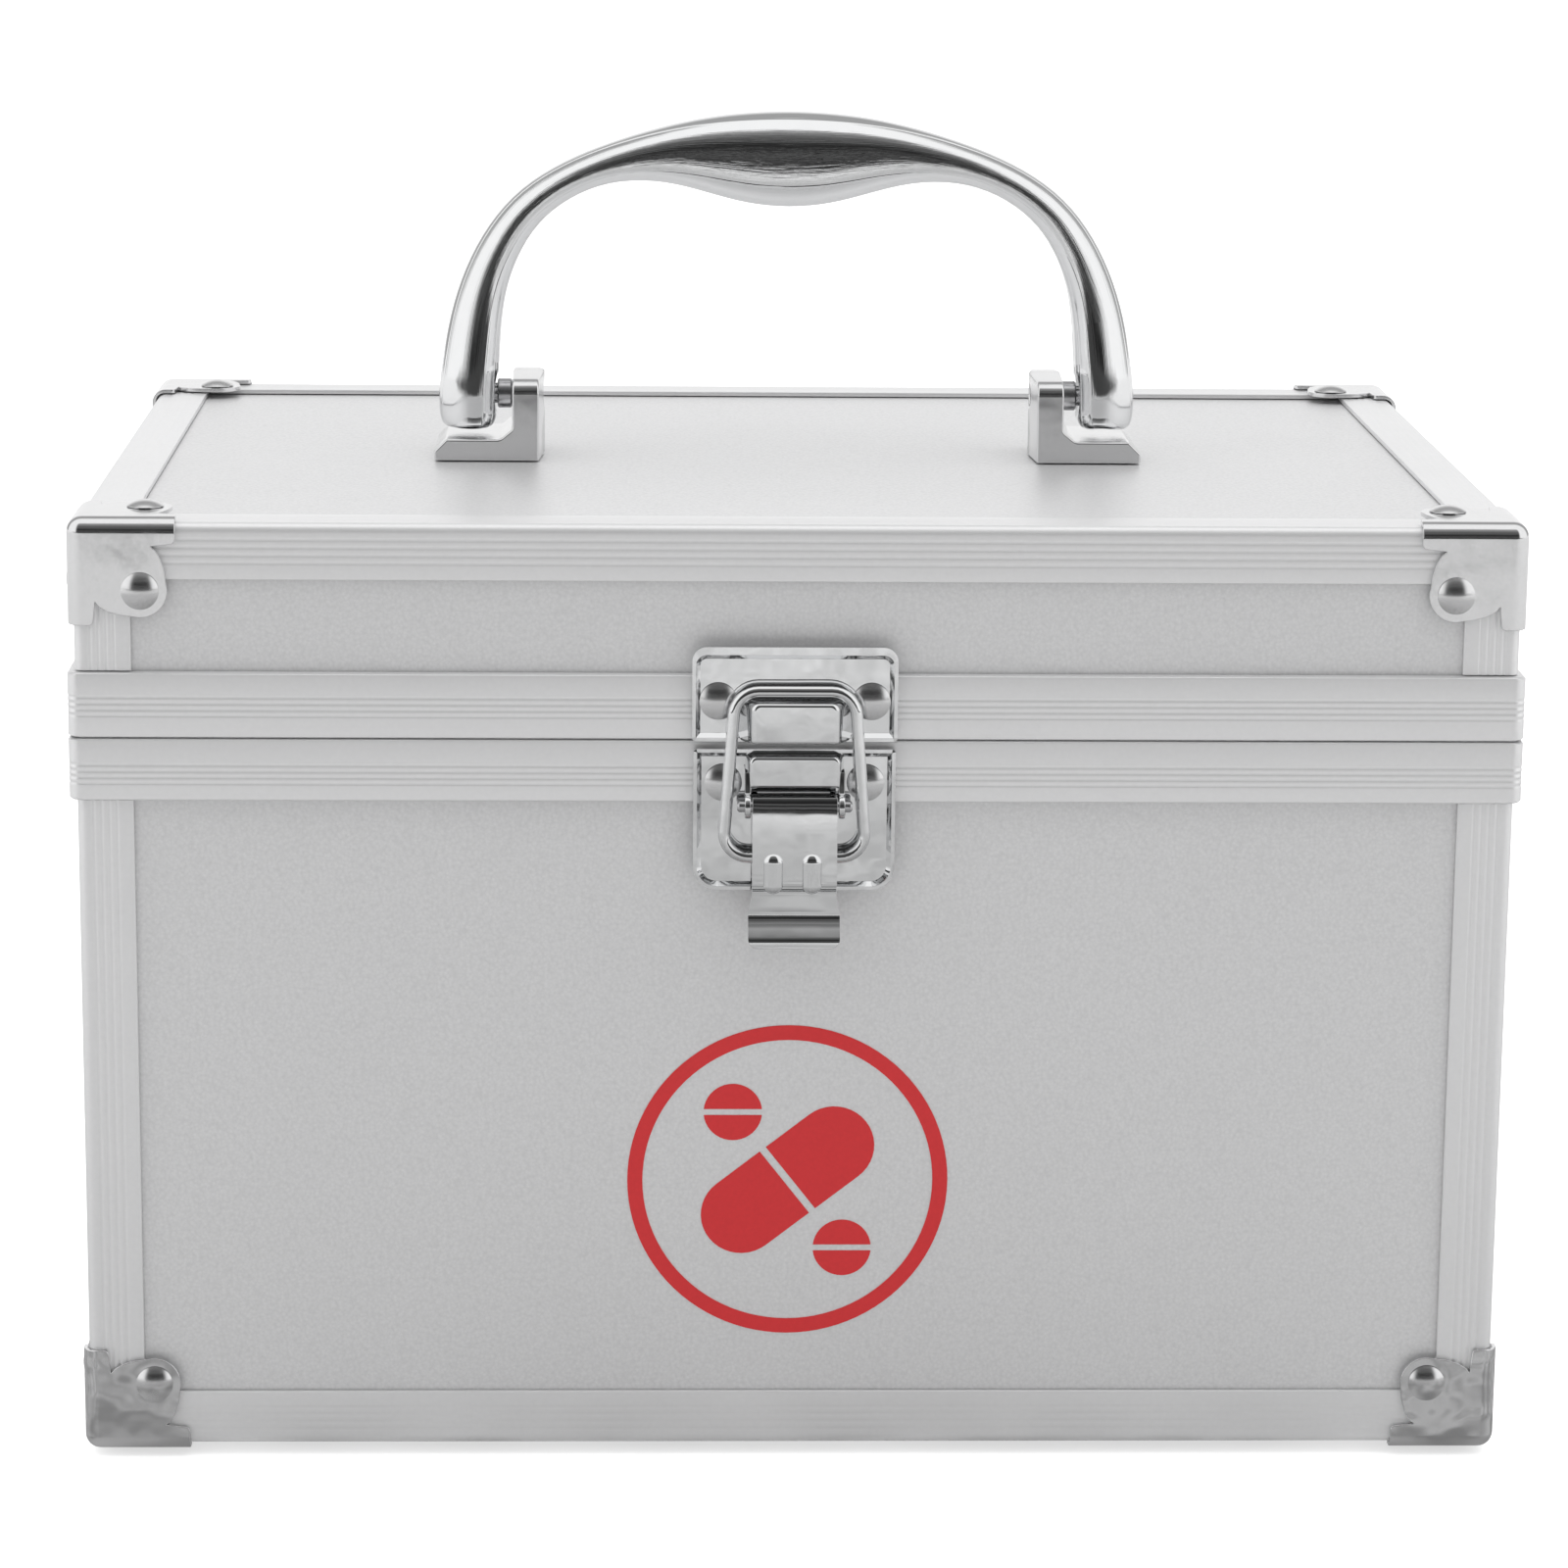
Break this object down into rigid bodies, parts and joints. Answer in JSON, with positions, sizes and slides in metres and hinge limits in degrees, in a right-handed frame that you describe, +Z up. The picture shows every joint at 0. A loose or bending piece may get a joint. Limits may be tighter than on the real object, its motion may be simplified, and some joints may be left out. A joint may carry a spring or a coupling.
{
  "type": "medication lock box",
  "caption": "Aluminium-framed medicine and first-aid case with corner caps, a hinged lid, a chrome draw latch and a folding carrying handle.",
  "frame": {"origin": "middle of the case in plan, on the surface that its bottom rivets stand on", "axes": "+X to the right across the front, +Y from the latch side to the hinge side, +Z up"},
  "size_m": [0.3054, 0.2316, 0.2787],
  "materials": {
    "board": "thin aluminium sheet with a fine rolled grain over a wood-fibre board",
    "frame": "satin anodised extrusion",
    "cap": "polished nickel plate",
    "chrome": "bright chrome plate",
    "steel": "plated steel",
    "lining": "dark felt"
  },
  "bodies": {
    "base": {"base_board_front": "board", "base_board_back": "board", "base_board_left": "board", "base_board_right": "board", "base_board_bottom": "board", "base_post_front_left": "frame", "base_post_back_left": "frame", "base_post_front_right": "frame", "base_post_back_right": "frame", "base_rail_front": "frame", "base_rail_back": "frame", "base_rail_left": "frame", "base_rail_right": "frame", "base_rim": "frame", "base_cap_front_left": "cap", "base_cap_front_right": "cap", "base_cap_back_left": "cap", "base_cap_back_right": "cap", "base_lining": "lining", "latch_catch_plate": "chrome", "latch_catch_rivet_left": "chrome", "latch_catch_rivet_right": "chrome", "lever_pin": "steel", "hinge_base_leaf_left": "steel", "hinge_base_leaf_right": "steel", "hinge_pin_left": "steel", "hinge_pin_right": "steel"},
    "lid": {"lid_board_front": "board", "lid_board_back": "board", "lid_board_left": "board", "lid_board_right": "board", "lid_board_top": "board", "lid_post_front_left": "frame", "lid_post_back_left": "frame", "lid_post_front_right": "frame", "lid_post_back_right": "frame", "lid_rail_front": "frame", "lid_rail_back": "frame", "lid_rail_left": "frame", "lid_rail_right": "frame", "lid_rim": "frame", "lid_cap_front_left": "cap", "lid_cap_front_right": "cap", "lid_cap_back_left": "cap", "lid_cap_back_right": "cap", "lid_lining": "lining", "latch_keeper": "chrome", "latch_keeper_rivet_left": "chrome", "latch_keeper_rivet_right": "chrome", "hinge_lid_leaf_left": "steel", "hinge_lid_leaf_right": "steel", "handle_bracket_left": "cap", "handle_bracket_right": "cap"},
    "handle": {"handle": "chrome", "handle_pin_left": "steel", "handle_pin_right": "steel"},
    "lever": {"latch_lever": "chrome"},
    "bail": {"latch_bail": "chrome"}
  },
  "joints": [
    {"name": "lid_hinge", "type": "hinge", "parent": "base", "child": "lid", "pos_m": [0, 0.10974, 0.1573], "axis": [-1, 0, 0], "range_deg": [0, 95]},
    {"name": "handle_fold", "type": "hinge", "parent": "lid", "child": "handle", "pos_m": [0, -0.00006, 0.21475], "axis": [1, 0, 0], "range_deg": [-94, 94]},
    {"name": "latch_lever_turn", "type": "hinge", "parent": "base", "child": "lever", "pos_m": [-0.001, -0.11256, 0.1446], "axis": [-1, 0, 0], "range_deg": [0, 120]},
    {"name": "latch_bail_swing", "type": "hinge", "parent": "lever", "child": "bail", "pos_m": [-0.001, -0.11126, 0.13355], "axis": [1, 0, 0], "range_deg": [0, 144]}
  ],
  "couplings": [
    {"joint": "latch_bail_swing", "follows": "latch_lever_turn", "ratio": 1.2}
  ]
}
